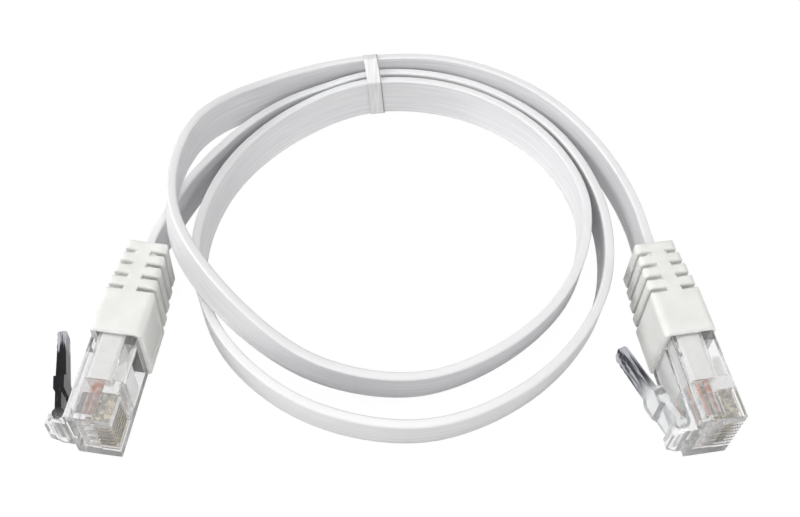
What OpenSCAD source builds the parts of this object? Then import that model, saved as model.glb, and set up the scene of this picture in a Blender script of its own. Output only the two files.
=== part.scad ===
// Flat patch cable: an unshielded flat cord with a clear eight-way plug on each end.
// The cord is coiled on its edge and held by a band, and both plugs lie on their narrow side.
// Millimetres. The origin is midway between the two plugs, on the surface they lie on.
// +Z is up, and both plugs point roughly along -Y.

/* [Flat cable] */
// Width of the flat cable
cable_w = 7.4; // [6.6:0.1:7.8]
// Thickness of the flat cable
cable_t = 1.5; // [1.2:0.1:1.6]
// Least clear gap between neighbouring turns under the band
turn_gap = 0.55; // [0.5:0.05:0.8]

/* [Band] */
// Width of the band along the cable
band_w = 2.6; // [1.5:0.1:6]
// Thickness of the band
band_t = 0.3; // [0.2:0.05:0.35]
// Gap between the band and the turns it holds
band_gap = 0.3; // [0.25:0.05:0.4]

/* [Plug housing] */
// Width of the plug across its eight contacts
plug_w = 11.68; // [11.5:0.02:11.8]
// Thickness of the plug from latch face to contact face
plug_h = 6.6; // [6.4:0.1:7]
// Length of housing that stands out of the boot
nose_len = 14.0; // [13.6:0.1:15]
// Length of the narrowed tail inside the boot
tail_len = 7.46; // [6:0.1:8]
// Wall left round the inner channel
wall = 0.8; // [0.6:0.05:0.9]
// Round on the long edges of the housing
edge_r = 0.35; // [0.2:0.05:0.5]

/* [Contacts] */
// Distance between neighbouring contacts
pitch = 1.016; // [1:0.004:1.03]
// Thickness of one contact blade
blade_t = 0.36; // [0.3:0.02:0.4]
// Length of one contact blade
blade_len = 4.4; // [3.8:0.1:4.6]
// Depth of the blade tops below the contact face
blade_recess = 0.45; // [0.3:0.05:0.6]
// Side clearance of a blade in its slot
blade_gap = 0.12; // [0.1:0.01:0.15]

/* [Latch] */
// Width of the latch at its root
latch_root_w = 6.0; // [5.6:0.1:6.2]
// Width of the latch at its grip
latch_grip_w = 3.25; // [3:0.05:3.6]
// Length of the latch from its hinge to its free end
latch_len = 14.6; // [13.5:0.1:15]
// Length of the wide part of the latch
latch_wide_len = 6.0; // [5:0.1:7]
// Thickness of the latch at its shoulders
latch_t = 1.5; // [1.2:0.1:1.6]
// Thickness of the thin neck between the hinge and the shoulders
latch_neck_t = 0.9; // [0.7:0.1:1.1]
// Length of the thin neck from the hinge
latch_neck_len = 3.4; // [2.5:0.1:4]
// Angle between the latch at rest and the plug's face
latch_splay = 17; // [15:1:18]
// Clearance round the latch root
latch_gap = 0.3; // [0.25:0.05:0.4]

/* [Boot] */
// Width of the boot at the plug
boot_w = 12.0; // [11.8:0.1:12.6]
// Thickness of the boot at the plug
boot_h = 7.9; // [7.7:0.1:8.4]
// Width of the boot where the cable leaves it
boot_rear_w = 10.3; // [9.8:0.1:11]
// Thickness of the boot where the cable leaves it
boot_rear_h = 6.6; // [6:0.1:7]
// Length of the plain block at the plug end
boot_block_len = 7.9; // [7.8:0.1:9]
// Length of one rib of the boot
rib_len = 1.85; // [1.6:0.05:2.1]
// Width of the slit between two ribs
rib_slit = 0.55; // [0.3:0.05:0.7]
// Number of ribs
rib_count = 4; // [3:1:5]
// Width of the spine that joins the ribs on the narrow faces
spine_w = 2.0; // [1.6:0.1:3]
// Width of the core that the slits leave round the cable
core_w = 9.0; // [8.8:0.1:9.4]
// Thickness of the core that the slits leave round the cable
core_h = 3.6; // [3:0.1:4.4]
// Round of the boot's long corners
boot_r = 1.1; // [0.6:0.1:1.4]
// Round of the ribs' lips
lip_r = 0.6; // [0.2:0.05:0.7]
// Bevel of the boot's front edge
front_bevel = 0.3; // [0.1:0.05:0.5]
// Depth of the thumb panel on the contact side
panel_depth = 0.25; // [0.1:0.05:0.4]
// Clearance between the cable and its slot in the boot
cable_gap = 0.15; // [0.1:0.05:0.2]
// Clearance between the housing's tail and its pocket in the boot
tail_gap = 0.05; // [0.02:0.01:0.1]

/* [Wires] */
// Diameter of one insulated wire
wire_d = 0.9; // [0.8:0.02:0.94]

/* [Hidden] */
SIDES = ["left", "right"];
PLUG_NODES = ["housing", "latch", "contacts", "load_bar", "strain_bar", "jacket_end",
              "pair_orange", "pair_green", "pair_blue", "pair_brown", "boot"];
$fn = 48;

// ---- where the plugs lie: [x, y] of the boot's front face, heading, lean of the top outwards
left_xy = [-40.35, -1.85];
left_yaw = -96.5;
left_lean = 4;
right_xy = [44.65, -1.45];
right_yaw = -81;
right_lean = 0;

// ---- sizes inside a plug, along the plug's own x axis (0 is the boot's front face)
boot_len = boot_block_len + rib_count * (rib_len + rib_slit);
tail_w = plug_w - 0.8;
tail_h = plug_h - 0.8;
jacket_w = tail_w - 2 * (wall - 0.1);
jacket_h = 3.6;
jacket_y = -0.4;
jacket_front = nose_len - 6.8;
strain_len = 3.0;
strain_w = 7.4;
strain_x = jacket_front - strain_len - 0.5;
window_x = strain_x - 2.8;
load_x = nose_len - 4.6;
load_len = 3.3;
load_y = [-2.0, 0.6];
load_w = 8 * pitch + 0.4;
load_gap = 0.1;
wire_rows = [-1.2, -0.1];
wire_end = load_x + load_len - 0.4;
wire_gap = 0.05;
blade_x = nose_len - 0.5 - blade_len;
hinge_x = nose_len - 1.7;
hinge_y = -plug_h / 2 - 1.75;
root_r = latch_t / 2 + 0.1;
root_depth = 3.3;
root_back = hinge_x - 1.4;
grip_t = 1.1;
grip_steps = 4;

// ---- the coil: polar stations every 30 degrees from the band, two turns and back to it
coil_center = [0.75, 23.25];
tie_angle = 98;
station_step = 30;
inner_r = 31.8;
strand_step = cable_t + turn_gap;
rest_gap = 0.03;
tie_lift = band_t + band_gap;
outer_lift = 2.4;
tie_lean = 5;
outer_r = inner_r + 2 * strand_step + (outer_lift - tie_lift) * tan(tie_lean);
// radius of each station, in mm, from the outermost strand at the band to the middle one
coil_r = [outer_r, 36.7, 36.6, 35.2, 32.0, 30.4, 29.5, 29.1, 30.6, 32.6, 32.8, 32.5,
          inner_r, 30.6, 31.1, 32.6, 34.3, 35.8, 37.0, 36.3, 35.9, 35.1, 35.0, 34.6,
          inner_r + strand_step];
// height of the cable's lower edge at each station
coil_lift = [outer_lift, 3.4, 8.6, 9.8, 7.8, 3.0, 0.4, 0.1, 0, 0, 0, 0.2,
             tie_lift, 0.2, 0, 0, 0, 0, 0, 0, 0, 0, 0, 0.2,
             tie_lift];
// lean of the cable's upper edge away from the coil's centre, in degrees
coil_lean = [tie_lean, 2, -4, -12, -8, 4, 8, 8, 3, 0, 0, 3,
             tie_lean, 5, 2, 0, 0, 5, 8, 6, 2, 0, 0, 3,
             tie_lean];
// ---- the free leads, chosen by hand: [x, y, height of the lower edge, lean]
right_lead_points = [[40.8, 23.7, 2.5, 0], [38.2, 33.2, 2.4, 0], [33.7, 42.2, 2.4, 0],
                     [27.3, 49.9, 2.4, 2], [19.3, 55.5, 2.4, 4], [10.3, 58.8, 2.4, 5]];
left_lead_points = [[-12.2, 53.9, 0.2, 4], [-19.9, 49.7, 0.1, 3], [-26.2, 43.9, 0.1, 1],
                    [-30.6, 37.9, 0.2, 0], [-33.8, 32.2, 0.6, -1], [-35.8, 26.7, 1.2, -2],
                    [-37.3, 21.2, 2, -4]];
lead_straight = 2.0;
sub_steps = 2;

// ---- small helpers
function rot2(v, a) = [v.x * cos(a) - v.y * sin(a), v.x * sin(a) + v.y * cos(a)];
function half_height(lean) = cable_w / 2 * cos(lean) + cable_t / 4 * abs(sin(lean));
function plug_height(lean) =
    (boot_w / 2 - boot_r) * cos(lean) + (boot_h / 2 - boot_r) * sin(lean) + boot_r;

// a point on the plug's axis, as a station of the route
function axis_station(xy, yaw, lean, out, along) =
    let (p = xy + rot2([along, 0], yaw))
    [p.x, p.y, plug_height(lean), out * lean];
function lead_station(p) = [p[0], p[1], p[2] + half_height(p[3]), p[3]];
function coil_station(k) =
    let (a = tie_angle + station_step * k)
    [coil_center.x + coil_r[k] * cos(a), coil_center.y + coil_r[k] * sin(a),
     coil_lift[k] + rest_gap + half_height(coil_lean[k]), coil_lean[k]];

function end_alongs() = [-tail_len, -(tail_len + boot_len) / 2, -boot_len, -boot_len - lead_straight];
right_end = [for (a = end_alongs()) axis_station(right_xy, right_yaw, right_lean, 1, a)];
left_end = [for (i = [3:-1:0]) axis_station(left_xy, left_yaw, left_lean, -1, end_alongs()[i])];
coil_stations = [for (k = [0:len(coil_r) - 1]) coil_station(k)];
right_stations = concat(right_end, [for (p = right_lead_points) lead_station(p)]);
left_stations = concat([for (p = left_lead_points) lead_station(p)], left_end);
route = concat(right_stations, coil_stations, left_stations);
coil_first = len(right_stations) * sub_steps;
coil_last = (len(right_stations) + len(coil_stations) - 1) * sub_steps;

// ---- smooth curve through the stations, with tangents weighted by the chords on both sides
function chord(i) = norm([for (c = [0:2]) route[i + 1][c] - route[i][c]]);
function tangent(i) =
    i == 0 ? (route[1] - route[0]) / chord(0) :
    i == len(route) - 1 ? (route[i] - route[i - 1]) / chord(i - 1) :
    let (a = chord(i - 1), b = chord(i))
    ((route[i] - route[i - 1]) / a * b + (route[i + 1] - route[i]) / b * a) / (a + b);
function hermite(i, t) =
    let (l = chord(i), p = route[i], q = route[i + 1])
    p * (2 * t^3 - 3 * t^2 + 1) + tangent(i) * l * (t^3 - 2 * t^2 + t)
    + q * (3 * t^2 - 2 * t^3) + tangent(i + 1) * l * (t^3 - t^2);
line = concat([for (i = [0:len(route) - 2]) for (s = [0:sub_steps - 1]) hermite(i, s / sub_steps)],
              [route[len(route) - 1]]);
function pos(i) = [line[i][0], line[i][1], line[i][2]];
function unit(v) = v / norm(v);
function heading(i) = unit(pos(min(i + 1, len(line) - 1)) - pos(max(i - 1, 0)));
// across: level and away from the coil; up: along the cable's width, turned by the lean
function across(i) = unit([heading(i).y, -heading(i).x, 0]);
function up(i) =
    let (a = across(i), h = heading(i), u = cross(a, h), l = line[i][3])
    unit(u * cos(l) + a * sin(l));
function thick(i) = cross(heading(i), up(i));

// eight-sided section of the cable: [along the width, along the thickness]
edge_flat = cable_t / 4;
section = [[cable_w / 2, -edge_flat], [cable_w / 2, edge_flat],
           [cable_w / 2 - edge_flat, cable_t / 2], [-cable_w / 2 + edge_flat, cable_t / 2],
           [-cable_w / 2, edge_flat], [-cable_w / 2, -edge_flat],
           [-cable_w / 2 + edge_flat, -cable_t / 2], [cable_w / 2 - edge_flat, -cable_t / 2]];
function ring(i) = [for (s = section) pos(i) + up(i) * s[0] + thick(i) * s[1]];

// ---- least gap between stretches of the cable that are apart along its length
function gap_to(p, j) =
    let (a = pos(j), b = pos(j + 1), t = max(0, min(1, (p - a) * (b - a) / ((b - a) * (b - a)))),
         d = p - a - t * (b - a), u = unit(up(j) * (1 - t) + up(j + 1) * t),
         v = unit(thick(j) * (1 - t) + thick(j + 1) * t), h = unit(b - a),
         reach = max(abs(d * u) - (cable_w - cable_t) / 2, 0))
    norm([reach, d * v, d * h]) - cable_t / 2;
far_rings = 6;
near_mm = cable_w + 3;
gaps = [for (i = [0:len(line) - 1]) for (j = [0:len(line) - 2])
        if (abs(i - j) > far_rings && norm(pos(i) - pos(j)) < near_mm) for (p = ring(i)) gap_to(p, j)];
union() {
    echo(least_gap_of_cable_to_itself_mm = min(gaps));
    echo(length_of_cable_mm = [for (i = 0, s = 0; i < len(line); s = s + (i < len(line) - 1 ?
        norm(pos(i + 1) - pos(i)) : 0), i = i + 1) s][len(line) - 1]);
}

// sweeps a closed tube through the rings from first to last
module tube(rings) {
    n = len(rings[0]);
    m = len(rings);
    walls = [for (r = [0:m - 2]) for (k = [0:n - 1]) each
             let (a = r * n + k, b = r * n + (k + 1) % n) [[a, a + n, b + n], [a, b + n, b]]];
    caps = [for (k = [1:n - 2]) each
            [[0, k, k + 1], [(m - 1) * n, (m - 1) * n + k + 1, (m - 1) * n + k]]];
    polyhedron([for (r = rings) each r], concat(walls, caps));
}

module cable(first, last) {
    color("whitesmoke") tube([for (i = [first:last]) ring(i)]);
}
module coil() {
    cable(coil_first, coil_last);
}
module right_lead() {
    cable(0, coil_first);
}
module left_lead() {
    cable(coil_last, len(line) - 1);
}

// ---- band round the three strands, drawn in the plane of radius and height
module strand_outline(r, lift) {
    translate([r, lift + rest_gap + half_height(tie_lean)]) rotate(-tie_lean) hull() {
        for (s = [-1, 1]) translate([0, s * (cable_w - cable_t) / 2]) circle(d = cable_t, $fn = 24);
    }
}
module bundle_outline(grow) {
    offset(r = grow, $fn = 24) hull() {
        strand_outline(inner_r, tie_lift);
        strand_outline(inner_r + strand_step, tie_lift);
        strand_outline(inner_r + 2 * strand_step, outer_lift);
    }
}
module tie_band() {
    color("gainsboro") translate([coil_center.x, coil_center.y, 0])
        rotate([90, 0, tie_angle]) linear_extrude(band_w, center = true) difference() {
            bundle_outline(band_gap + band_t);
            bundle_outline(band_gap);
        }
}

// ---- one plug, in its own frame: x to the nose, +y to the contacts, z across the plug
module on_plug(side) {
    xy = side == "left" ? left_xy : right_xy;
    lean = side == "left" ? left_lean : right_lean;
    translate([xy.x, xy.y, plug_height(lean)])
        rotate([0, 0, side == "left" ? left_yaw : right_yaw]) rotate([-lean, 0, 0]) children();
}
// a block from x0 to x1, centred on z and running from y0 to y1
module block(x0, x1, y0, y1, w) {
    translate([x0, y0, -w / 2]) cube([x1 - x0, y1 - y0, w]);
}
// a rounded bar along x: height along y, width along z
module bar(x0, x1, h, w, r) {
    translate([x0, 0, 0]) rotate([90, 0, 90]) linear_extrude(x1 - x0) rounded(h, w, r);
}
module rounded(h, w, r) {
    square([h - 2 * r, w], center = true);
    square([h, w - 2 * r], center = true);
    for (a = [-1, 1]) for (b = [-1, 1]) translate([a * (h / 2 - r), b * (w / 2 - r)]) circle(r);
}
// place of wire i across the plug, its row, and the foot of the blade that pierces it
function wire_z(i) = (i - 3.5) * pitch;
function wire_row(i) = wire_rows[i % 2];
function blade_foot(i) = wire_row(i) + wire_d / 2 + wire_gap;

module housing() {
    color("lightcyan") difference() {
        union() {
            bar(0, nose_len, plug_h, plug_w, edge_r);
            bar(-tail_len, 0.5, tail_h, tail_w, edge_r);
            latch_root();
        }
        // channel for the jacket, open at the rear
        block(-tail_len - 1, jacket_front + cable_gap, jacket_y - jacket_h / 2 - cable_gap,
              jacket_y + jacket_h / 2 + cable_gap, jacket_w + 2 * cable_gap);
        // chamber for the wires and the load bar, up to the nose wall
        block(jacket_front, load_x + load_len + load_gap, load_y[0] - load_gap, load_y[1] + load_gap,
              load_w + 2 * load_gap);
        // window over the jacket and seat of the strain relief bar
        block(window_x, strain_x + strain_len + cable_gap, jacket_y, plug_h, strain_w + 2 * cable_gap);
        // contact slots, open on the contact face and on the nose
        for (i = [0:7]) translate([0, 0, wire_z(i)]) {
            block(blade_x - blade_gap, nose_len + 1, load_y[1], plug_h, blade_t + 2 * blade_gap);
            block(blade_x - blade_gap, blade_x + blade_len + blade_gap, blade_foot(i) - blade_gap,
                  plug_h, blade_t + 2 * blade_gap);
        }
    }
}
// the fixed cradle that the latch's root turns in, and the rail behind it
module latch_root() {
    y0 = -plug_h / 2;
    half_w = latch_root_w / 2 + 0.4;
    difference() {
        translate([root_back, 0, 0]) rotate([90, 0, 90]) linear_extrude(nose_len - root_back)
            polygon([[y0 + 1, -half_w], [y0 + 1, half_w], [y0 - root_depth / 2, half_w],
                     [y0 - root_depth, half_w - 1.2], [y0 - root_depth, -half_w + 1.2],
                     [y0 - root_depth / 2, -half_w]]);
        translate([hinge_x, hinge_y, 0])
            cylinder(r = root_r + latch_gap, h = 2 * latch_root_w, center = true);
        block(root_back - 1, hinge_x, hinge_y - 5, hinge_y + root_r + latch_gap, 2 * latch_root_w);
    }
    block(0.4, root_back + 0.01, y0 - 0.4, y0 + 0.5, latch_root_w);
}

module latch() {
    color("paleturquoise") translate([hinge_x, hinge_y, 0]) rotate(latch_splay) intersection() {
        // seen on the broad face: a wide root, shoulders and a narrow grip
        rotate([90, 0, 0]) linear_extrude(8, center = true)
            polygon([[root_r, latch_root_w / 2 - 0.5], [root_r - 0.5, latch_root_w / 2],
                     [-latch_wide_len, latch_root_w / 2], [-latch_wide_len - 0.8, latch_grip_w / 2],
                     [-latch_len + 0.5, latch_grip_w / 2], [-latch_len, latch_grip_w / 2 - 0.5],
                     [-latch_len, -latch_grip_w / 2 + 0.5], [-latch_len + 0.5, -latch_grip_w / 2],
                     [-latch_wide_len - 0.8, -latch_grip_w / 2], [-latch_wide_len, -latch_root_w / 2],
                     [root_r - 0.5, -latch_root_w / 2], [root_r, -latch_root_w / 2 + 0.5]]);
        union() {
            // seen from the side: a round root, a thin neck, thick shoulders and a tapering lever
            cylinder(r = root_r, h = 2 * latch_root_w, center = true);
            linear_extrude(2 * latch_root_w, center = true)
                polygon([[0, latch_neck_t / 2], [0, -latch_neck_t / 2],
                         [-latch_neck_len, -latch_neck_t / 2], [-latch_neck_len - 0.6, -latch_t / 2],
                         [-latch_wide_len - 0.8, -latch_t / 2], [-latch_len, -grip_t / 2],
                         [-latch_len, grip_t / 2], [-latch_wide_len - 0.8, latch_t / 2],
                         [-latch_neck_len - 0.6, latch_t / 2], [-latch_neck_len, latch_neck_t / 2]]);
            for (k = [0:grip_steps - 1]) translate([-latch_len + 0.4 + k * 1.1, -grip_t / 2 - 0.12, 0])
                linear_extrude(2 * latch_root_w, center = true) square([0.55, 0.5]);
        }
    }
}

// long and short blades alternate, to reach the two rows of wires
module contacts() {
    top = plug_h / 2 - blade_recess;
    nose_r = 0.8;
    tooth = 0.45;
    color("gold") for (i = [0:7]) translate([0, 0, wire_z(i) - blade_t / 2])
        linear_extrude(blade_t) difference() {
            translate([blade_x, blade_foot(i)]) square([blade_len, top - blade_foot(i)]);
            // the rounded nose that first meets the socket's wire
            translate([blade_x + blade_len - nose_r, top - nose_r]) difference() {
                square(nose_r + 1);
                circle(nose_r);
            }
            // notches that leave two piercing teeth
            translate([blade_x - 1, blade_foot(i) - 1]) square([1 + tooth, 1.7]);
            translate([blade_x + 3 * tooth, blade_foot(i) - 1]) square([blade_len - 5 * tooth, 1.7]);
            translate([blade_x + blade_len - tooth, blade_foot(i) - 1]) square([1, 1.7]);
        }
}

module load_bar() {
    color("azure") difference() {
        block(load_x, load_x + load_len, load_y[0], load_y[1], load_w);
        for (i = [0:7]) translate([0, 0, wire_z(i)]) {
            translate([load_x - 1, wire_row(i), 0]) rotate([0, 90, 0])
                cylinder(d = wire_d + 2 * wire_gap, h = wire_end - load_x + 1 + wire_gap);
            block(blade_x, load_x + load_len + 1, wire_row(i), load_y[1] + 1, blade_t + 2 * blade_gap);
        }
    }
}

module strain_bar() {
    y0 = jacket_y + jacket_h / 2 + 0.05;
    y1 = plug_h / 2 - 0.15;
    color("white") translate([0, 0, -strain_w / 2]) linear_extrude(strain_w)
        polygon([[strain_x, y1], [strain_x, y0 + 0.9], [strain_x + 0.9, y0],
                 [strain_x + strain_len, y0], [strain_x + strain_len, y1]]);
}

module jacket_end() {
    color("white") translate([-tail_len, jacket_y, 0]) rotate([90, 0, 90])
        linear_extrude(jacket_front + tail_len) rounded(jacket_h, jacket_w, 0.6);
}

module wires(numbers) {
    for (i = numbers) translate([jacket_front, wire_row(i), wire_z(i)]) rotate([0, 90, 0])
        cylinder(d = wire_d, h = wire_end - jacket_front);
}
module pair_orange() {
    color("darkorange") wires([0, 1]);
}
module pair_green() {
    color("seagreen") wires([2, 5]);
}
module pair_blue() {
    color("royalblue") wires([3, 4]);
}
module pair_brown() {
    color("saddlebrown") wires([6, 7]);
}

// plain block at the plug, then ribs that shrink towards the cable, parted by deep slits
module boot() {
    pitch_x = rib_len + rib_slit;
    color("snow") difference() {
        union() {
            bar(-boot_block_len, 0, boot_h, boot_w, boot_r);
            for (k = [1:rib_count]) {
                share = k / rib_count;
                bar(-boot_block_len - k * pitch_x, -boot_block_len + 0.5 - (k - 1) * pitch_x,
                    boot_h + (boot_rear_h - boot_h) * share, boot_w + (boot_rear_w - boot_w) * share,
                    boot_r);
            }
        }
        // slits all round but for the core and the spine, with rounded lips
        for (k = [1:rib_count]) {
            share = (k - 0.5) / rib_count;
            slit(-boot_block_len - (k - 1) * pitch_x - rib_slit / 2,
                 boot_h + (boot_rear_h - boot_h) * share, boot_w + (boot_rear_w - boot_w) * share);
        }
        // rounded rear edge and bevelled front edge
        translate([-boot_len, 0, 0]) lips(boot_rear_h, boot_rear_w, 0, lip_r);
        for (s = [-1, 1]) {
            linear_extrude(boot_w + 2, center = true) bevel_shape(s * boot_h / 2, s);
            rotate([90, 0, 0]) linear_extrude(boot_h + 2, center = true)
                bevel_shape(s * boot_w / 2, s);
        }
        // thumb panel on the contact side
        translate([-boot_block_len / 2, boot_h / 2 - panel_depth, 0]) rotate([-90, 0, 0])
            linear_extrude(1) rounded(boot_block_len - 2.4, boot_w - 4.4, 0.5);
        // slot for the flat cable and pocket for the housing's tail
        block(-boot_len - 1, -tail_len + 1, -cable_t / 2 - cable_gap, cable_t / 2 + cable_gap,
              cable_w + 2 * cable_gap);
        bar(-tail_len, 1, tail_h + 2 * tail_gap, tail_w + 2 * tail_gap, edge_r);
    }
}
module bevel_shape(edge, s) {
    polygon([[1, edge - s * (front_bevel + 1)], [-front_bevel - 1, edge + s], [1, edge + s]]);
}
module slit(x, h, w) {
    difference() {
        translate([x, 0, 0]) cube([rib_slit, h + 2, w + 2], center = true);
        bar(x - 1, x + 1, core_h, core_w, 0.6);
        bar(x - 1, x + 1, spine_w, w + 1, 0.3);
    }
    difference() {
        translate([x, 0, 0]) lips(h, w, rib_slit, lip_r);
        bar(x - 2, x + 2, spine_w, w + 1, 0.3);
    }
}
// rounds both lips of a slit of that gap, on the broad sides and on the narrow faces
module lips(h, w, gap, r) {
    for (s = [-1, 1]) {
        linear_extrude(w + 2, center = true) lip_shape(s * h / 2, s, gap / 2 + r, r);
        rotate([90, 0, 0]) linear_extrude(h + 2, center = true)
            lip_shape(s * w / 2, s, gap / 2 + r, r);
    }
}
module lip_shape(edge, s, reach, r) {
    difference() {
        translate([0, edge + s * 0.5]) square([2 * reach, 2 * r + 1], center = true);
        for (a = [-1, 1]) translate([a * reach, edge - s * r]) circle(r);
    }
}

coil();
left_lead();
right_lead();
tie_band();
on_plug("left") housing();  // left_housing
on_plug("left") latch();  // left_latch
on_plug("left") contacts();  // left_contacts
on_plug("left") load_bar();  // left_load_bar
on_plug("left") strain_bar();  // left_strain_bar
on_plug("left") jacket_end();  // left_jacket_end
on_plug("left") pair_orange();  // left_pair_orange
on_plug("left") pair_green();  // left_pair_green
on_plug("left") pair_blue();  // left_pair_blue
on_plug("left") pair_brown();  // left_pair_brown
on_plug("left") boot();  // left_boot
on_plug("right") housing();  // right_housing
on_plug("right") latch();  // right_latch
on_plug("right") contacts();  // right_contacts
on_plug("right") load_bar();  // right_load_bar
on_plug("right") strain_bar();  // right_strain_bar
on_plug("right") jacket_end();  // right_jacket_end
on_plug("right") pair_orange();  // right_pair_orange
on_plug("right") pair_green();  // right_pair_green
on_plug("right") pair_blue();  // right_pair_blue
on_plug("right") pair_brown();  // right_pair_brown
on_plug("right") boot();  // right_boot
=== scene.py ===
# %% [markdown]
# # A flat patch cable, dressed for its picture
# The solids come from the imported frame: two clear plugs with their latches, contacts, wires and
# boots, a flat cable coiled on its edge and a thin band round it. This lesson gives every piece
# the surface and the finish that the real one has. The frame is in metres. Sizes are written in
# millimetres and multiplied by MM on their way into Blender.

# %% Load the frame
import bpy
import bmesh
import math
from mathutils import Matrix, Vector


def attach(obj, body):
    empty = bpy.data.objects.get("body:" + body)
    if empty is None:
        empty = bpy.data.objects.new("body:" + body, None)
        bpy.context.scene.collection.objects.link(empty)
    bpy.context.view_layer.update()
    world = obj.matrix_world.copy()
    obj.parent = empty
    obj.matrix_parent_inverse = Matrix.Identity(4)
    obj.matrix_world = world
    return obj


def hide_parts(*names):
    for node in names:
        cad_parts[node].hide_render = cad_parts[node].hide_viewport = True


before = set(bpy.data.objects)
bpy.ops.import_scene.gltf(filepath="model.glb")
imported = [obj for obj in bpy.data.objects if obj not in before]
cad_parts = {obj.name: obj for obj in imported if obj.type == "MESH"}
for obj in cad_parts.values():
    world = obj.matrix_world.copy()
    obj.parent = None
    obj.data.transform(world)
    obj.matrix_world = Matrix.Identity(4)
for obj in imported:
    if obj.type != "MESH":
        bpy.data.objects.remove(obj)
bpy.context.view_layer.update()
MM = 0.001

# %% [markdown]
# ## The camera
# A product picture of something this flat is taken from well above it and fairly near, so that the
# coil reads as an oval. The camera stands 160 mm from a point near the middle of the coil and
# looks 54 degrees downwards. It is made first, because the cable has to lie within its view.

# %% Camera
AIM = Vector((1.75, 20.25, 0.0)) * MM
DISTANCE = 160.04 * MM
LOOK_DOWN = 0.94915  # radians below the horizon
ROLL = 0.0026624  # radians
SENSOR_W = 36.0  # mm, as Blender takes it
FOCAL_LENGTH = 42.254  # mm
forward = Vector((0, math.cos(LOOK_DOWN), -math.sin(LOOK_DOWN)))
level = Vector((1, 0, 0))
upright = level.cross(forward)
cam_right = level * math.cos(ROLL) + upright * math.sin(ROLL)
cam_up = upright * math.cos(ROLL) - level * math.sin(ROLL)
lens_data = bpy.data.cameras.new("camera")
camera = bpy.data.objects.new("camera", lens_data)
bpy.context.scene.collection.objects.link(camera)
turn = Matrix((cam_right, cam_up, -forward)).transposed().to_4x4()
camera.matrix_world = Matrix.Translation(AIM - forward * DISTANCE) @ turn
lens_data.sensor_width = SENSOR_W
lens_data.lens = FOCAL_LENGTH
lens_data.clip_start = 0.005
lens_data.clip_end = 20.0
bpy.context.scene.camera = camera
print("camera at", [round(c / MM, 1) for c in camera.location], "mm")

# %% [markdown]
# ## The route of the cable
# A flat cable bends easily across its thickness and hardly at all across its width, so it lies in
# a spiral on its edge. Its route is a row of stations: place, height and lean. Three strands meet
# under the band, side by side, and the sizes there set the rest. All are in mm and degrees.

# %% Sizes of the route
CABLE_W, CABLE_T = 7.4, 1.5
COIL_CENTER = (0.75, 23.25)
BAND_ANGLE = 98  # where the band sits, round the coil
INNER_R = 31.8  # the inner strand's radius under the band
STRAND_STEP = 2.05  # from strand to strand there
BAND_LEAN = 5  # outwards, for all three strands
BAND_LIFT, OUTER_LIFT = 0.6, 2.4  # lower edges of the two inner strands and of the outer one
REST_GAP = 0.03  # between the lowest edges and the floor
OUTER_R = INNER_R + 2 * STRAND_STEP + (OUTER_LIFT - BAND_LIFT) * math.tan(math.radians(BAND_LEAN))
print("radii under the band:", INNER_R, INNER_R + STRAND_STEP, round(OUTER_R, 2), "mm")

# %% [markdown]
# ## Coil and leads
# The coil begins under the band as the outer strand, goes round anticlockwise, passes the band as
# the inner strand and ends there as the middle one. It has a radius, a lift of the lower edge and a
# lean for every 30 degrees. The two leads have points given one by one: x, y, lift and lean.

# %% Stations of the coil and the leads
STATION_TURN = 30
coil_r = [OUTER_R, 36.7, 36.6, 35.2, 32.0, 30.4, 29.5, 29.1, 30.6, 32.6, 32.8, 32.5,
          INNER_R, 30.6, 31.1, 32.6, 34.3, 35.8, 37.0, 36.3, 35.9, 35.1, 35.0, 34.6,
          INNER_R + STRAND_STEP]
coil_lift = [OUTER_LIFT, 3.4, 8.6, 9.8, 7.8, 3.0, 0.4, 0.1, 0, 0, 0, 0.2,
             BAND_LIFT, 0.2, 0, 0, 0, 0, 0, 0, 0, 0, 0, 0.2, BAND_LIFT]
coil_lean = [BAND_LEAN, 2, -4, -12, -8, 4, 8, 8, 3, 0, 0, 3,
             BAND_LEAN, 5, 2, 0, 0, 5, 8, 6, 2, 0, 0, 3, BAND_LEAN]
right_lead = [(40.8, 23.7, 2.5, 0), (38.2, 33.2, 2.4, 0), (33.7, 42.2, 2.4, 0),
              (27.3, 49.9, 2.4, 2), (19.3, 55.5, 2.4, 4), (10.3, 58.8, 2.4, 5)]
left_lead = [(-12.2, 53.9, 0.2, 4), (-19.9, 49.7, 0.1, 3), (-26.2, 43.9, 0.1, 1),
             (-30.6, 37.9, 0.2, 0), (-33.8, 32.2, 0.6, -1), (-35.8, 26.7, 1.2, -2),
             (-37.3, 21.2, 2, -4)]
print("coil:", len(coil_r), "stations, leads:", len(right_lead), "and", len(left_lead))

# %% [markdown]
# ## From boot to boot
# Each plug lies on a narrow side, turned by its yaw, and may lean on its boot's rounded corner. The
# cable leaves a boot straight, so a few stations at each end lie on the plug's own axis. The whole
# row runs from the right boot through both leads and the coil to the left boot.

# %% Row of stations
PLUGS = {"left": dict(xy=(-40.35, -1.85), yaw=-96.5, lean=4),
         "right": dict(xy=(44.65, -1.45), yaw=-81, lean=0)}
BOOT_W, BOOT_H, BOOT_R, BOOT_LEN = 12.0, 7.9, 1.1, 17.5
TAIL_LEN = 7.46  # the housing's tail inside the boot, where the cable starts
STRAIGHT_OUT = 2.0  # how far the cable goes on straight behind the boot


def half_height(lean):
    """How high the middle of a leaning strand lies over its lower edge."""
    a = math.radians(lean)
    return CABLE_W / 2 * math.cos(a) + CABLE_T / 4 * abs(math.sin(a))


def plug_height(lean):
    """How high a plug's axis lies when its boot leans on a rounded corner."""
    a = math.radians(lean)
    return (BOOT_W / 2 - BOOT_R) * math.cos(a) + (BOOT_H / 2 - BOOT_R) * math.sin(a) + BOOT_R


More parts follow.
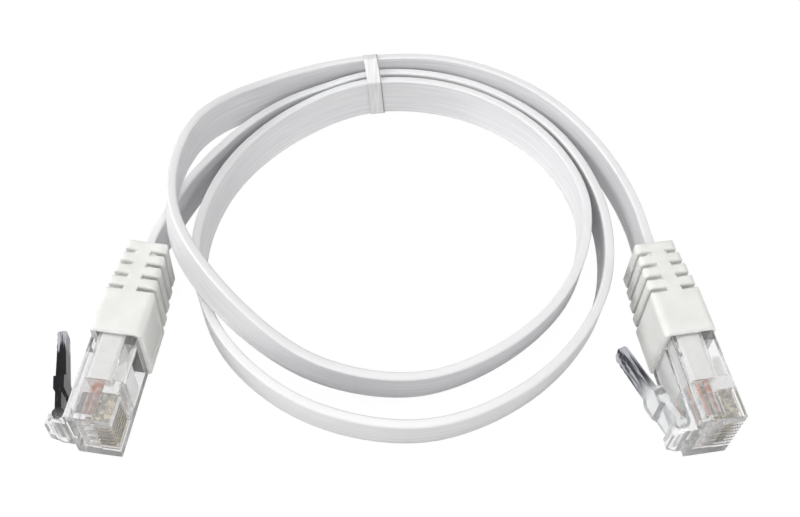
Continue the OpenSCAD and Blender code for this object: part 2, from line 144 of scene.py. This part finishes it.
def axis_station(side, along):
    """A station on a plug's axis; the left plug leans the other way along the route."""
    plug = PLUGS[side]
    a = math.radians(plug["yaw"])
    x, y = plug["xy"]
    lean = plug["lean"] if side == "right" else -plug["lean"]
    return (x + along * math.cos(a), y + along * math.sin(a), plug_height(plug["lean"]), lean)


alongs = [-TAIL_LEN, -(TAIL_LEN + BOOT_LEN) / 2, -BOOT_LEN, -BOOT_LEN - STRAIGHT_OUT]
stations = [axis_station("right", a) for a in alongs]
stations += [(x, y, z + half_height(lean), lean) for x, y, z, lean in right_lead]
for k, (r, lift, lean) in enumerate(zip(coil_r, coil_lift, coil_lean)):
    a = math.radians(BAND_ANGLE + STATION_TURN * k)
    stations.append((COIL_CENTER[0] + r * math.cos(a), COIL_CENTER[1] + r * math.sin(a),
                     lift + REST_GAP + half_height(lean), lean))
stations += [(x, y, z + half_height(lean), lean) for x, y, z, lean in left_lead]
stations += [axis_station("left", a) for a in reversed(alongs)]
stations = [Vector(s) for s in stations]
print(len(stations), "stations")

# %% [markdown]
# ## The curve between the stations
# Each stretch is a cubic that leaves one station and reaches the next along shared tangents. The
# tangents weigh the chords on both sides, so that short and long stretches join without a kink.

# %% Smooth line
STEPS = 10  # rings from one station to the next


def tangent(i):
    """How the line heads at a station, per mm of chord."""
    if i == 0:
        return (stations[1] - stations[0]) / chords[0]
    if i == len(stations) - 1:
        return (stations[i] - stations[i - 1]) / chords[i - 1]
    a, b = chords[i - 1], chords[i]
    back, ahead = stations[i] - stations[i - 1], stations[i + 1] - stations[i]
    return (back / a * b + ahead / b * a) / (a + b)


chords = [(b.xyz - a.xyz).length for a, b in zip(stations, stations[1:])]
line = []
for i, length in enumerate(chords):
    # from p to q, leaving along m and arriving along n
    p, q, m, n = stations[i], stations[i + 1], tangent(i) * length, tangent(i + 1) * length
    for s in range(STEPS):
        t = s / STEPS
        line.append(p * (2 * t**3 - 3 * t**2 + 1) + m * (t**3 - 2 * t**2 + t)
                    + q * (3 * t**2 - 2 * t**3) + n * (t**3 - t**2))
line.append(stations[-1])

# %% [markdown]
# ## The flat cable
# The jacket is one extrusion: four pairs side by side under a skin. Its section is a flat strip
# with soft corners and flat narrow edges, and its broad sides wave very slightly, as the pairs
# inside make them.

# %% Section of the jacket
EDGE_R = 0.35
CORNER_STEPS = 5
SIDE_STEPS = 16
PAIRS = 4
DIP = 0.035  # how deep the broad sides wave


def section_points():
    """The section's outline, as (across the width, across the thickness), in mm."""
    half, flat = CABLE_W / 2 - EDGE_R, CABLE_T / 2 - EDGE_R
    points = []
    for side in (1, -1):
        for quarter in (0, 1):
            for k in range(CORNER_STEPS + 1):
                a = math.pi / 2 * (quarter + k / CORNER_STEPS)
                points.append((side * (half + EDGE_R * math.sin(a)),
                               side * ((flat if quarter == 0 else -flat) + EDGE_R * math.cos(a))))
        for k in range(1, SIDE_STEPS):
            u = half - 2 * half * k / SIDE_STEPS
            dip = DIP * (0.5 - 0.5 * math.cos(2 * math.pi * (u / half * PAIRS / 2)))
            points.append((side * u, -side * (CABLE_T / 2 - dip)))
    return points


print("section:", len(section_points()), "points")

# %% [markdown]
# ## Sweep the section
# The section is carried along the line ring by ring, which keeps it true where the cable leans. A
# UV map in metres, along the cable and round it, lets the finish run lengthwise, as the marks of
# extrusion do. A curve object with a bevel would turn the section by itself, so this is mesh code.

# %% Sweep the cable
def sweep(name, centre_line, outline):
    """A closed tube round the line, with a UV map: along the line and round the section."""
    mesh = bpy.data.meshes.new(name)
    piece = bpy.data.objects.new(name, mesh)
    bpy.context.scene.collection.objects.link(piece)
    bm = bmesh.new()
    rings, run, runs = [], 0.0, []
    for i, point in enumerate(centre_line):
        a, b = centre_line[max(i - 1, 0)], centre_line[min(i + 1, len(centre_line) - 1)]
        heading = (b.xyz - a.xyz).normalized()
        across = Vector((heading.y, -heading.x, 0)).normalized()
        rise = across.cross(heading)
        lean = math.radians(point.w)
        up = (rise * math.cos(lean) + across * math.sin(lean)).normalized()
        thick = heading.cross(up)
        rings.append([bm.verts.new((point.xyz + up * u + thick * v) * MM) for u, v in outline])
        run += (point.xyz - centre_line[max(i - 1, 0)].xyz).length * MM
        runs.append(run)
    around = [0.0]
    for (u0, v0), (u1, v1) in zip(outline, outline[1:] + outline[:1]):
        around.append(around[-1] + math.hypot(u1 - u0, v1 - v0) * MM)
    uv = bm.loops.layers.uv.new("UVMap")
    count = len(outline)
    for i in range(len(rings) - 1):
        for k in range(count):
            n = (k + 1) % count
            face = bm.faces.new((rings[i][k], rings[i][n], rings[i + 1][n], rings[i + 1][k]))
            face.smooth = True
            for loop, (r, c) in zip(face.loops, ((i, k), (i, k + 1), (i + 1, k + 1), (i + 1, k))):
                loop[uv].uv = (runs[r], around[c])
    bm.faces.new(rings[0])
    bm.faces.new(list(reversed(rings[-1])))
    bmesh.ops.recalc_face_normals(bm, faces=bm.faces)
    bm.to_mesh(mesh)
    bm.free()
    return piece


cable = sweep("flat_cable", line, section_points())
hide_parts("coil", "left_lead", "right_lead")
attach(cable, "cable")
print("cable:", len(cable.data.polygons), "faces")

# %% [markdown]
# ## The band
# A strip of clear film holds the three strands together at the back. Pulled tight, it takes the
# shortest way round them, so its outline is the hull of the three sections, 0.16 mm off their
# skins. Every point of the sections gets a small circle of points, and the hull goes round them.

# %% Outline of the bundle
FILM_GAP = 0.16
GAP_STEPS = 16
tie_lean = math.radians(BAND_LEAN)
ring_points = []
for k, lift in enumerate((BAND_LIFT, BAND_LIFT, OUTER_LIFT)):
    r = INNER_R + k * STRAND_STEP
    h = lift + REST_GAP + half_height(BAND_LEAN)
    for u, v in section_points():
        for j in range(GAP_STEPS):
            a = 2 * math.pi * j / GAP_STEPS
            ring_points.append((r + u * math.sin(tie_lean) + v * math.cos(tie_lean)
                                + FILM_GAP * math.cos(a),
                                h + u * math.cos(tie_lean) - v * math.sin(tie_lean)
                                + FILM_GAP * math.sin(a)))


def hull(points):
    """The tightest outline round the points, anticlockwise."""
    ordered, halves = sorted(points), []
    for row in (ordered, ordered[::-1]):
        half = []
        for p in row:
            while len(half) > 1 and ((half[-1][0] - half[-2][0]) * (p[1] - half[-2][1])
                                     - (half[-1][1] - half[-2][1]) * (p[0] - half[-2][0])) <= 0:
                half.pop()
            half.append(p)
        halves += half[:-1]
    return halves


outline = hull(ring_points)
print("outline:", len(outline), "of", len(ring_points), "points")

# %% [markdown]
# ## Wrap the film
# A circle with one vertex for each point of the outline is laid on it, extruded along the strands
# by the band's width, given the film's thickness and smoothed. A real band never sits quite square,
# so its lower side is a little further along.

# %% Extrude the film
BAND_W, FILM_T = 2.6, 0.1
BAND_SHIFT = 0.75  # along the strands, from the place that BAND_ANGLE gives
SLANT = 0.6  # how much further along the lower side lies than the upper one
CREASE = math.radians(40)  # edges that turn more than this stay sharp
a = math.radians(BAND_ANGLE)
outward, onward = Vector((math.cos(a), math.sin(a), 0)), Vector((math.sin(a), -math.cos(a), 0))
bpy.ops.object.select_all(action="DESELECT")
bpy.ops.mesh.primitive_circle_add(vertices=len(outline), radius=INNER_R * MM)
film_band = bpy.context.object
film_band.name = "film_band"
for vertex, (r, h) in zip(film_band.data.vertices, outline):
    shift = SLANT * (0.5 - h / (OUTER_LIFT + CABLE_W)) - BAND_W / 2 + BAND_SHIFT
    spot = Vector((COIL_CENTER[0], COIL_CENTER[1], 0)) + outward * r + onward * shift
    vertex.co = (spot + Vector((0, 0, h))) * MM
bpy.ops.object.mode_set(mode="EDIT")
bpy.ops.mesh.select_all(action="SELECT")
bpy.ops.mesh.extrude_region_move(TRANSFORM_OT_translate={"value": onward * BAND_W * MM})
bpy.ops.mesh.select_all(action="SELECT")
bpy.ops.mesh.normals_make_consistent(inside=False)
bpy.ops.object.mode_set(mode="OBJECT")
# 0 on the first edge and 1 on the extruded one, for the painted dark line of the finish
across_band = film_band.data.attributes.new("across_band", "FLOAT", "POINT")
for i in range(len(outline), len(film_band.data.vertices)):
    across_band.data[i].value = 1.0
thicken = film_band.modifiers.new("thickness", "SOLIDIFY")
thicken.thickness = FILM_T * MM
thicken.offset = 0.0
bpy.ops.object.modifier_apply(modifier="thickness")
bpy.ops.object.shade_smooth_by_angle(angle=CREASE)
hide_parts("tie_band")
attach(film_band, "cable")
print("band:", len(outline), "points round,", len(film_band.data.polygons), "faces")

# %% [markdown]
# The cable leaves the right boot and ends in the left plug.

# %% [markdown]
# ## Node helper
# Every finish below is a small tree of nodes. One function adds a node, sets what it is given and
# links its inputs. Colours are written as sRGB hex, as a paint chart gives them. Most patterns
# read Object coordinates in metres, so a noise of scale 2500 has a feature about every 0.4 mm.

# %% Helpers for materials
def linear(hex_colour):
    """An sRGB hex colour as the linear one that shaders take."""
    channels = [int(hex_colour[i:i + 2], 16) / 255 for i in (1, 3, 5)]
    return tuple(c / 12.92 if c <= 0.04045 else ((c + 0.055) / 1.055) ** 2.4
                 for c in channels) + (1.0,)


def node(tree, kind, links=None, **settings):
    """Adds a node. inputs go to its sockets, stops to its colour ramp, the rest to the node."""
    made = tree.nodes.new("ShaderNode" + kind)
    inputs, stops = settings.pop("inputs", {}), settings.pop("stops", ())
    for key, value in settings.items():
        setattr(made, key, value)
    for key, value in inputs.items():
        made.inputs[key].default_value = value
    for k, (position, colour) in enumerate(stops):
        made.color_ramp.elements[k].position = position
        made.color_ramp.elements[k].color = linear(colour)
    for key, source in (links or {}).items():
        tree.links.new(source, made.inputs[key])
    return made


def material(name):
    """A new material with an empty tree."""
    made = bpy.data.materials.new(name)
    made.use_nodes = True
    made.node_tree.nodes.clear()
    return made, made.node_tree


def output(tree, surface):
    """Ends a material's tree in this surface."""
    node(tree, "OutputMaterial", {"Surface": surface})


def dress(name, finish):
    """Puts a finish on a CAD node or on a new piece."""
    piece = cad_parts.get(name) or bpy.data.objects[name]
    piece.data.materials.clear()
    piece.data.materials.append(finish)


print("helpers ready")

# %% [markdown]
# ## Jacket of the flat cable
# Soft PVC, extruded through a die. The die leaves fine lines along the cable, and the pairs inside
# make the broad sides wave a little. It is cool white with a satin skin, and light goes a little
# way into it. No pair lies under the narrow edges; the upper one is painted whiter and without
# lines, a painted highlight where the light from above falls on it. The lines are about 0.4 mm
# apart and 17 mm long, drawn coarser than real ones to show.

# %% Soft extruded PVC
PVC_IOR = 1.53
jacket, tree = material("extruded_soft_pvc")
uv = node(tree, "TexCoord").outputs["UV"]
along = node(tree, "Mapping", {"Vector": uv}, inputs={"Scale": (60, 2600, 1)})
streaks = node(tree, "TexNoise", {"Vector": along.outputs["Vector"]},
               inputs={"Scale": 1.0, "Detail": 3.0, "Roughness": 0.6})
tone = node(tree, "ValToRGB", {"Fac": streaks.outputs["Fac"]},
            stops=((0.3, "#D9D9DB"), (0.7, "#EDEDEE")))
# round the section from the UV seam, the upper edge's middle is one corner and half a flat away
edge_middle = (math.pi * EDGE_R + CABLE_T - 2 * EDGE_R) / 2 * MM
place = node(tree, "SeparateXYZ", {"Vector": uv})
away = node(tree, "Math", {0: place.outputs["Y"]}, operation="SUBTRACT",
            inputs={1: edge_middle})
away = node(tree, "Math", {0: away.outputs["Value"]}, operation="ABSOLUTE")
# the upper edge is painted in the light tone and without lines: a painted highlight
upper_edge_highlight = node(tree, "MapRange", {"Value": away.outputs["Value"]},
               inputs={"From Min": edge_middle * 0.6, "From Max": edge_middle * 0.95,
                       "To Min": 1.0, "To Max": 0.0})
painted_edge_tone = node(tree, "MixRGB", {"Fac": upper_edge_highlight.outputs["Result"], "Color1": tone.outputs["Color"]},
             inputs={"Color2": linear("#EDEDEE")})
bump = node(tree, "Bump", {"Height": streaks.outputs["Fac"]},
            inputs={"Strength": 0.25, "Distance": 0.00006})
skin = node(tree, "BsdfPrincipled",
            {"Base Color": painted_edge_tone.outputs["Color"], "Normal": bump.outputs["Normal"]},
            inputs={"Roughness": 0.38, "IOR": PVC_IOR, "Subsurface Weight": 0.15,
                    "Subsurface Radius": (0.001, 0.001, 0.001), "Subsurface Scale": 0.6})
output(tree, skin.outputs["BSDF"])
cable.data.materials.append(jacket)
print("jacket finish on", cable.name)

# %% [markdown]
# ## Boots
# Moulded soft PVC as well, but in a warmer white and with the faint grain of a spark-eroded mould,
# 0.4 mm across. Soft clouds about 4 mm across keep the white from looking printed.

# %% Soft moulded PVC
boot_white, tree = material("moulded_soft_pvc")
here = node(tree, "TexCoord").outputs["Object"]
grain = node(tree, "TexNoise", {"Vector": here}, inputs={"Scale": 2500.0, "Detail": 3.0})
cloud = node(tree, "TexNoise", {"Vector": here}, inputs={"Scale": 260.0, "Detail": 2.0})
tone = node(tree, "ValToRGB", {"Fac": cloud.outputs["Fac"]},
            stops=((0.35, "#E9E9E5"), (0.65, "#F0F0ED")))
bump = node(tree, "Bump", {"Height": grain.outputs["Fac"]},
            inputs={"Strength": 0.2, "Distance": 0.00004})
skin = node(tree, "BsdfPrincipled",
            {"Base Color": tone.outputs["Color"], "Normal": bump.outputs["Normal"]},
            inputs={"Roughness": 0.45, "IOR": PVC_IOR, "Subsurface Weight": 0.15,
                    "Subsurface Radius": (0.001, 0.001, 0.0009), "Subsurface Scale": 0.6})
output(tree, skin.outputs["BSDF"])
for side in PLUGS:
    dress(side + "_boot", boot_white)
print("boots dressed")

# %% [markdown]
# ## Clear polycarbonate
# Housings are moulded in clear polycarbonate, a little milky from the mould, with flow marks about
# 2.4 mm apart. Its real index is 1.585; 1.45 keeps the pieces inside readable through the many thin
# walls. Light has to reach those pieces, so shadow and diffuse rays pass nearly straight through.

# %% Clear polycarbonate
CLEAR_IOR = 1.45


def clear_plastic(name, tint, milk, roughness):
    """A see-through moulding: milk is the share of light that it scatters, not lets through."""
    made, tree = material(name)
    here = node(tree, "TexCoord").outputs["Object"]
    flow = node(tree, "TexNoise", {"Vector": here}, inputs={"Scale": 420.0, "Detail": 2.0})
    bump = node(tree, "Bump", {"Height": flow.outputs["Fac"]},
                inputs={"Strength": 0.12, "Distance": 0.0001})
    haze = node(tree, "MapRange", {"Value": flow.outputs["Fac"]},
                inputs={"To Min": 1.0 - milk * 1.4, "To Max": 1.0 - milk * 0.6})
    glass = node(tree, "BsdfPrincipled", {"Normal": bump.outputs["Normal"],
                                          "Transmission Weight": haze.outputs["Result"]},
                 inputs={"Base Color": linear(tint), "Roughness": roughness,
                         "IOR": CLEAR_IOR})
    seen = node(tree, "LightPath")
    through = node(tree, "BsdfTransparent", inputs={"Color": linear("#F4F4F4")})
    either = node(tree, "Math", operation="MAXIMUM",
                  links={0: seen.outputs["Is Shadow Ray"], 1: seen.outputs["Is Diffuse Ray"]})
    mixed = node(tree, "MixShader", {0: either.outputs["Value"], 1: glass.outputs["BSDF"],
                                     2: through.outputs["BSDF"]})
    output(tree, mixed.outputs["Shader"])
    return made


clear = clear_plastic("clear_polycarbonate", "#F9F9F9", 0.12, 0.05)
for side in PLUGS:
    dress(side + "_housing", clear)
print("housings dressed")

# %% [markdown]
# ## Latches
# The same plastic, but polished. On its edge a lever would mirror the dark side of a room, but this
# room is white all round, so that reflection is painted into its colour: nearly black with painted
# bright streaks, a painted highlight towards the tip, and clear again at the hinge. The left lever
# is painted darker than the right one: painted shade. Streaks are 0.5 mm across and 7 mm long and
# run with the lever, which stands at an angle to Y.

# %% Polished levers, their reflection painted
# the deepest painted tone, darker on the left lever as painted shade, the noise value where the
# painted bright streaks begin, degrees off Y, and the places along Y, in mm, where the plastic is
# still clear and where it has its full painted look
LEVERS = {"left": dict(dark="#0B0B10", streaks_from=0.62, turn=10.5, clear=-14.6, full=-12.5),
          "right": dict(dark="#33343D", streaks_from=0.50, turn=26.0, clear=-8.5, full=-6.0)}
for side, look in LEVERS.items():
    lever, tree = material("polycarbonate_painted_reflection_" + side)
    here = node(tree, "TexCoord").outputs["Object"]
    along = node(tree, "Mapping", {"Vector": here}, vector_type="TEXTURE",
                 inputs={"Rotation": (0, 0, math.radians(look["turn"])),
                         "Scale": (0.5 * MM, 7.0 * MM, 1.2 * MM)})
    streaks = node(tree, "TexNoise", {"Vector": along.outputs["Vector"]},
                   inputs={"Scale": 1.0, "Detail": 3.0, "Roughness": 0.6})
    place = node(tree, "SeparateXYZ", {"Vector": here})
    # painted highlight: lighter towards the tip of the lever
    painted_tip_highlight = node(tree, "MapRange", {"Value": place.outputs["Y"]},
               inputs={"From Min": -3.5 * MM, "From Max": -1.0 * MM, "To Max": 0.2})
    level = node(tree, "Math", {0: streaks.outputs["Fac"], 1: painted_tip_highlight.outputs["Result"]},
                 operation="ADD")
    # the painted reflection: a dark tone with painted bright streaks
    tone = node(tree, "ValToRGB", {"Fac": level.outputs["Value"]},
                stops=((look["streaks_from"], look["dark"]),
                       (look["streaks_from"] + 0.1, "#C4C5CC")))
    painted_mirror_look = node(tree, "BsdfPrincipled", {"Base Color": tone.outputs["Color"]},
                  inputs={"Roughness": 0.15, "IOR": CLEAR_IOR, "Specular IOR Level": 0.06})
    glass = node(tree, "BsdfPrincipled",
                 inputs={"Base Color": linear("#EEEFF0"), "Roughness": 0.06, "IOR": CLEAR_IOR,
                         "Transmission Weight": 0.85})
    # clear by the hinge, and the full painted dark reflection a little further along the lever
    share = node(tree, "MapRange", {"Value": place.outputs["Y"]},
                 inputs={"From Min": look["clear"] * MM, "From Max": look["full"] * MM,
                         "To Max": 0.9})
    mixed = node(tree, "MixShader", {0: share.outputs["Result"], 1: glass.outputs["BSDF"],
                                     2: painted_mirror_look.outputs["BSDF"]})
    output(tree, mixed.outputs["Shader"])
    dress(side + "_latch", lever)
print("latches dressed")

# %% [markdown]
# ## White pieces inside the plug
# The jacket's end and the bar that presses on it are plain white mouldings. They are seen through
# clear walls only, so soft clouds 2 mm across and a dull skin are all that reaches the eye.

# %% White polymer
inner_white, tree = material("moulded_white_polymer")
here = node(tree, "TexCoord").outputs["Object"]
cloud = node(tree, "TexNoise", {"Vector": here}, inputs={"Scale": 500.0, "Detail": 2.0})
tone = node(tree, "ValToRGB", {"Fac": cloud.outputs["Fac"]},
            stops=((0.0, "#F0F0EF"), (1.0, "#F8F8F7")))
skin = node(tree, "BsdfPrincipled", {"Base Color": tone.outputs["Color"]},
            inputs={"Roughness": 0.5})
output(tree, skin.outputs["BSDF"])
for side in PLUGS:
    dress(side + "_jacket_end", inner_white)
    dress(side + "_strain_bar", inner_white)
print("jacket ends and strain bars dressed")

# %% [markdown]
# ## Load bar
# The little comb that holds the eight wires is clear as well, but warmer and not as well polished.

# %% Clear load bar
clear_insert = clear_plastic("clear_load_bar", "#E9E7E4", 0.06, 0.08)
for side in PLUGS:
    dress(side + "_load_bar", clear_insert)
print("load bars dressed")

# %% [markdown]
# ## Contacts
# Eight blades are punched from bronze strip. The strip is nickel-plated before it is punched, so
# the broad faces stay grey, and the edges, which touch the socket, are gold-plated afterwards. The
# broad faces are painted darker than nickel, as painted shade, with paler clouds as painted
# highlights. They lie level in both plugs, so the height part of the normal tells the two apart.
# Wear shows as clouds 0.7 mm across, on the gold and in the roughness.

# %% Nickel faces and gold edges
contact, tree = material("plated_bronze_strip")
coord = node(tree, "TexCoord")
wear_and_painted_highlights = node(tree, "TexNoise", {"Vector": coord.outputs["Object"]},
            inputs={"Scale": 1400.0, "Detail": 3.0})
rough = node(tree, "MapRange", {"Value": wear_and_painted_highlights.outputs["Fac"]},
             inputs={"To Min": 0.16, "To Max": 0.36})
gold = node(tree, "ValToRGB", {"Fac": wear_and_painted_highlights.outputs["Fac"]},
            stops=((0.0, "#D6BA70"), (1.0, "#FFF3C8")))
# painted shade and painted highlights: broad faces darker than nickel, with paler clouds
nickel_with_painted_shade = node(tree, "ValToRGB", {"Fac": wear_and_painted_highlights.outputs["Fac"]},
              stops=((0.38, "#5A5859"), (0.65, "#BDB39C")))
facing = node(tree, "SeparateXYZ", {"Vector": coord.outputs["Normal"]})
level = node(tree, "Math", {0: facing.outputs["Z"]}, operation="ABSOLUTE")
broad = node(tree, "MapRange", {"Value": level.outputs["Value"]},
             inputs={"From Min": 0.6, "From Max": 0.8})
tone = node(tree, "MixRGB", {"Fac": broad.outputs["Result"], "Color1": gold.outputs["Color"],
                             "Color2": nickel_with_painted_shade.outputs["Color"]})
skin = node(tree, "BsdfPrincipled", {"Base Color": tone.outputs["Color"],
                                     "Roughness": rough.outputs["Result"]},
            inputs={"Metallic": 1.0})
output(tree, skin.outputs["BSDF"])
for side in PLUGS:
    dress(side + "_contacts", contact)
print("contacts dressed")

# %% [markdown]
# ## The wires
# Each pair has one wire in its colour and one in a paler tint of it. They lie one above the other
# across the plug, so a height between the two tells them apart in both plugs. Pale rings are
# printed on the insulation every 1.4 mm, to tell the pairs apart.

# %% Polyethylene insulation
WAVE_REPEAT = 0.314  # metres from band to band in a wave of scale 1
RING_STEP = 1.4
# the coloured wire, its partner, the height in mm between them, and if the coloured one is above
WIRES = {"orange": ("#D9601F", "#F0B48E", 3.1, True), "green": ("#1F6E46", "#B5D6C3", 6.1, True),
         "blue": ("#27316B", "#B4BAD8", 6.1, False), "brown": ("#9C4A22", "#D08152", 9.2, True)}
for name, (colour, partner, level, colour_above) in WIRES.items():
    wire, tree = material("polyethylene_" + name)
    here = node(tree, "TexCoord").outputs["Object"]
    place = node(tree, "SeparateXYZ", {"Vector": here})
    above = node(tree, "Math", {0: place.outputs["Z"]}, operation="GREATER_THAN",
                 inputs={1: level * MM})
    tone = node(tree, "MixRGB", {"Fac": above.outputs["Value"]},
                inputs={"Color1": linear(partner if colour_above else colour),
                        "Color2": linear(colour if colour_above else partner)})
    rings = node(tree, "TexWave", {"Vector": here}, bands_direction="Y",
                 inputs={"Scale": WAVE_REPEAT / (RING_STEP * MM), "Distortion": 4.0,
                         "Detail": 1.0, "Detail Scale": 2.0})
    share = node(tree, "MapRange", {"Value": rings.outputs["Fac"]},
                 inputs={"From Min": 0.35, "From Max": 1.0, "To Max": 0.45})
    ringed = node(tree, "MixRGB", {"Fac": share.outputs["Result"], "Color1": tone.outputs["Color"]},
                  inputs={"Color2": linear("#E4D2C9")})
    skin = node(tree, "BsdfPrincipled", {"Base Color": ringed.outputs["Color"]},
                inputs={"Roughness": 0.35, "IOR": 1.5})
    output(tree, skin.outputs["BSDF"])
    for side in PLUGS:
        dress(side + "_pair_" + name, wire)
print("wires dressed:", ", ".join(WIRES))

# %% [markdown]
# ## Film of the band
# Thin polypropylene film, drawn lengthwise: milky, with fine lines round the bundle, 0.6 mm apart,
# that are a little whiter. Along one cut edge a dark line is painted, as painted shade where light
# that enters the film leaves it away from the eye. The attribute across_band says where that edge
# is.

# %% Drawn film
film, tree = material("drawn_polypropylene_film")
here = node(tree, "TexCoord").outputs["Object"]
fine = node(tree, "Mapping", {"Vector": here}, inputs={"Scale": (1800, 150, 150)})
lines = node(tree, "TexNoise", {"Vector": fine.outputs["Vector"]},
             inputs={"Scale": 1.0, "Detail": 2.0})
bump = node(tree, "Bump", {"Height": lines.outputs["Fac"]},
            inputs={"Strength": 0.25, "Distance": 0.00003})
milky = node(tree, "MapRange", {"Value": lines.outputs["Fac"]},
             inputs={"From Min": 0.35, "From Max": 0.7, "To Min": 0.76, "To Max": 0.90})
tone = node(tree, "ValToRGB", {"Fac": lines.outputs["Fac"]},
            stops=((0.0, "#F0F0F0"), (1.0, "#F7F7F7")))
edge_place = node(tree, "Attribute", attribute_name="across_band")
# painted shade: a dark, opaque line along the extruded edge of the band
painted_edge_shade = node(tree, "MapRange", {"Value": edge_place.outputs["Fac"]},
                  inputs={"From Min": 0.90, "From Max": 0.97, "To Max": 0.75})
painted_edge_tone = node(tree, "MixRGB", {"Fac": painted_edge_shade.outputs["Result"], "Color1": tone.outputs["Color"]},
             inputs={"Color2": linear("#55575B")})
milky = node(tree, "Math", {0: milky.outputs["Result"], 1: painted_edge_shade.outputs["Result"]},
             operation="MAXIMUM")
skin = node(tree, "BsdfPrincipled", {"Base Color": painted_edge_tone.outputs["Color"],
                                     "Normal": bump.outputs["Normal"]},
            inputs={"Roughness": 0.22, "IOR": 1.49})
through = node(tree, "BsdfTransparent", inputs={"Color": linear("#F2F2F2")})
mixed = node(tree, "MixShader", {0: milky.outputs["Value"], 1: through.outputs["BSDF"],
                                 2: skin.outputs["BSDF"]})
output(tree, mixed.outputs["Shader"])
dress("film_band", film)
print("band dressed")

# %% [markdown]
# ## Floor
# A white sweep under the cable shows as pure white, and still takes a faint shadow. It is nearly
# all glow to the camera and to rays that pass through the clear plugs, and plain paper to others.

# %% White sweep
FLOOR_SIZE = 4.0
FLOOR_DROP = 0.02 * MM  # under the lowest solids, so that no two faces share a plane
FLOOR_GLOW = 0.94  # the share of glow, against plain paper, for the rays that see the floor white
bpy.ops.object.select_all(action="DESELECT")
bpy.ops.mesh.primitive_plane_add(size=FLOOR_SIZE, location=(0, 0, -FLOOR_DROP))
floor = bpy.context.object
floor.name = "floor"
paper, tree = material("white_sweep")
seen = node(tree, "LightPath")
either = node(tree, "Math", operation="MAXIMUM",
              links={0: seen.outputs["Is Camera Ray"], 1: seen.outputs["Is Transmission Ray"]})
share = node(tree, "Math", {0: either.outputs["Value"]}, operation="MULTIPLY",
             inputs={1: FLOOR_GLOW})
matt = node(tree, "BsdfDiffuse", inputs={"Color": linear("#F2F2F2")})
glow = node(tree, "Emission", inputs={"Color": (1, 1, 1, 1), "Strength": 1.03})
mixed = node(tree, "MixShader", {0: share.outputs["Value"], 1: matt.outputs["BSDF"],
                                 2: glow.outputs["Emission"]})
output(tree, mixed.outputs["Shader"])
floor.data.materials.append(paper)
print("floor laid")

# %% [markdown]
# ## Lights
# Four soft disks stand round the cable, as diffusers do on a product table. The left one is the
# strongest, so a coil on its edge shows a bright upper rim, light sides where it faces left and
# greyer ones where it faces front. All four aim at the same spot in the coil.

# %% Soft disks
LAMP_SIZE = 0.38
LAMP_AIM = Vector((0, 0.02, 0))


def soft_light(name, place, watts):
    """A disk lamp that faces the aim, whatever its place."""
    lamp = bpy.data.lights.new(name, "AREA")
    lamp.shape = "DISK"
    lamp.size = LAMP_SIZE
    lamp.energy = watts
    holder = bpy.data.objects.new(name, lamp)
    bpy.context.scene.collection.objects.link(holder)
    holder.location = place
    holder.rotation_mode = "QUATERNION"
    holder.rotation_quaternion = (LAMP_AIM - Vector(place)).to_track_quat("-Z", "Y")


for name, place, watts in (("overhead", (0.0, 0.02, 0.62), 1.65),
                           ("front_fill", (0.0, -0.58, 0.30), 1.3),
                           ("left_fill", (-0.55, 0.05, 0.30), 2.4),
                           ("right_fill", (0.55, 0.05, 0.30), 1.0)):
    soft_light(name, place, watts)
print("four soft disks")

# %% [markdown]
# ## The world
# It gives the last even light, and only a little, so that the shade between the strands stays.
# Gloss and clear plastic see it nearly white, as they would see the paper round them.

# %% Plain world
world = bpy.data.worlds.new("studio")
bpy.context.scene.world = world
world.use_nodes = True
tree = world.node_tree
tree.nodes.clear()
seen = node(tree, "LightPath")
plain, mirrored, bright = [node(tree, "Background", inputs={"Color": (1, 1, 1, 1), "Strength": s})
                           for s in (0.09, 0.8, 0.9)]
dull = node(tree, "MixShader", {0: seen.outputs["Is Glossy Ray"], 1: plain.outputs["Background"],
                                2: mirrored.outputs["Background"]})
either = node(tree, "Math", operation="MAXIMUM",
              links={0: seen.outputs["Is Camera Ray"], 1: seen.outputs["Is Transmission Ray"]})
both = node(tree, "MixShader", {0: either.outputs["Value"], 1: dull.outputs["Shader"],
                                2: bright.outputs["Background"]})
node(tree, "OutputWorld", {"Surface": both.outputs["Shader"]})
bpy.context.scene.view_settings.view_transform = "Standard"
print("a plain world")
